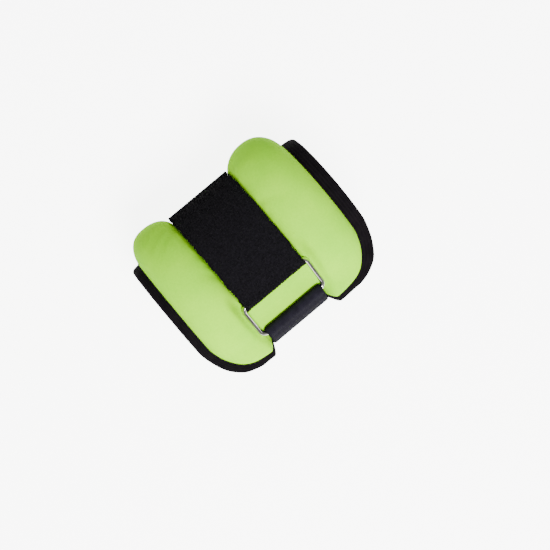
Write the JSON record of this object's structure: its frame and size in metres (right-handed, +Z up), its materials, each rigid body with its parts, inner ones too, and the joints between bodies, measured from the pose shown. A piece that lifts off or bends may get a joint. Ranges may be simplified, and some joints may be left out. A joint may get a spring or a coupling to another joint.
{
  "type": "ankle cuff weight",
  "caption": "Soft wrap-round cuff weight for an ankle or wrist: a filled pad with bound edges, closed by a loop-pile strap through a wire ring on a webbing tab.",
  "frame": {"origin": "middle of the cuff's footprint, on the surface it rests on", "axes": "+X along the limb, +Y away from the ring and tab, +Z up"},
  "size_m": [0.106, 0.0919, 0.0784],
  "materials": {
    "neoprene": "knit-faced neoprene, soft matt",
    "liner": "knit-faced neoprene, matt",
    "binding": "folded bias tape",
    "bag": "sealed film",
    "iron_sand": "loose grains",
    "nickel": "bright nickel plate",
    "loop_pile": "brushed loop pile",
    "hook": "hook tape",
    "thread": "sewing thread",
    "webbing": "smooth woven webbing"
  },
  "bodies": {
    "pad_lower": {"outer_cover_lower": "neoprene", "inner_liner_lower": "liner", "edge_binding_lower": "binding", "weight_bag_left_lower": "bag", "weight_bag_right_lower": "bag", "weight_fill_left_lower": "iron_sand", "weight_fill_right_lower": "iron_sand", "tab_anchor": "webbing", "tab_anchor_stitching": "thread"},
    "pad_upper": {"outer_cover_upper": "neoprene", "inner_liner_upper": "liner", "edge_binding_upper": "binding", "weight_bag_left_upper": "bag", "weight_bag_right_upper": "bag", "weight_fill_left_upper": "iron_sand", "weight_fill_right_upper": "iron_sand", "strap_base": "loop_pile", "strap_base_stitching": "thread", "strap_bend": "loop_pile"},
    "tab": {"tab_webbing": "webbing", "tab_loop_stitching": "thread"},
    "ring": {"ring": "nickel"},
    "strap_free_end": {"strap_tail": "loop_pile", "hook_patch": "hook", "hook_patch_stitching": "thread"}
  },
  "joints": [
    {"name": "cuff_open", "type": "hinge", "parent": "pad_lower", "child": "pad_upper", "pos_m": [0, 0.00535, -0.00005], "axis": [-1, 0, 0], "range_deg": [0, 38]},
    {"name": "tab_swing", "type": "hinge", "parent": "pad_lower", "child": "tab", "pos_m": [0, -0.03701, 0.02058], "axis": [1, 0, 0], "range_deg": [0, 60]},
    {"name": "ring_swivel", "type": "hinge", "parent": "tab", "child": "ring", "pos_m": [0, -0.03823, 0.05489], "axis": [1, 0, 0], "range_deg": [0, 90]},
    {"name": "strap_peel", "type": "hinge", "parent": "pad_upper", "child": "strap_free_end", "pos_m": [0, -0.02077, 0.06786], "axis": [1, 0, 0], "range_deg": [0, 150], "deforming": ["strap_bend"]}
  ]
}
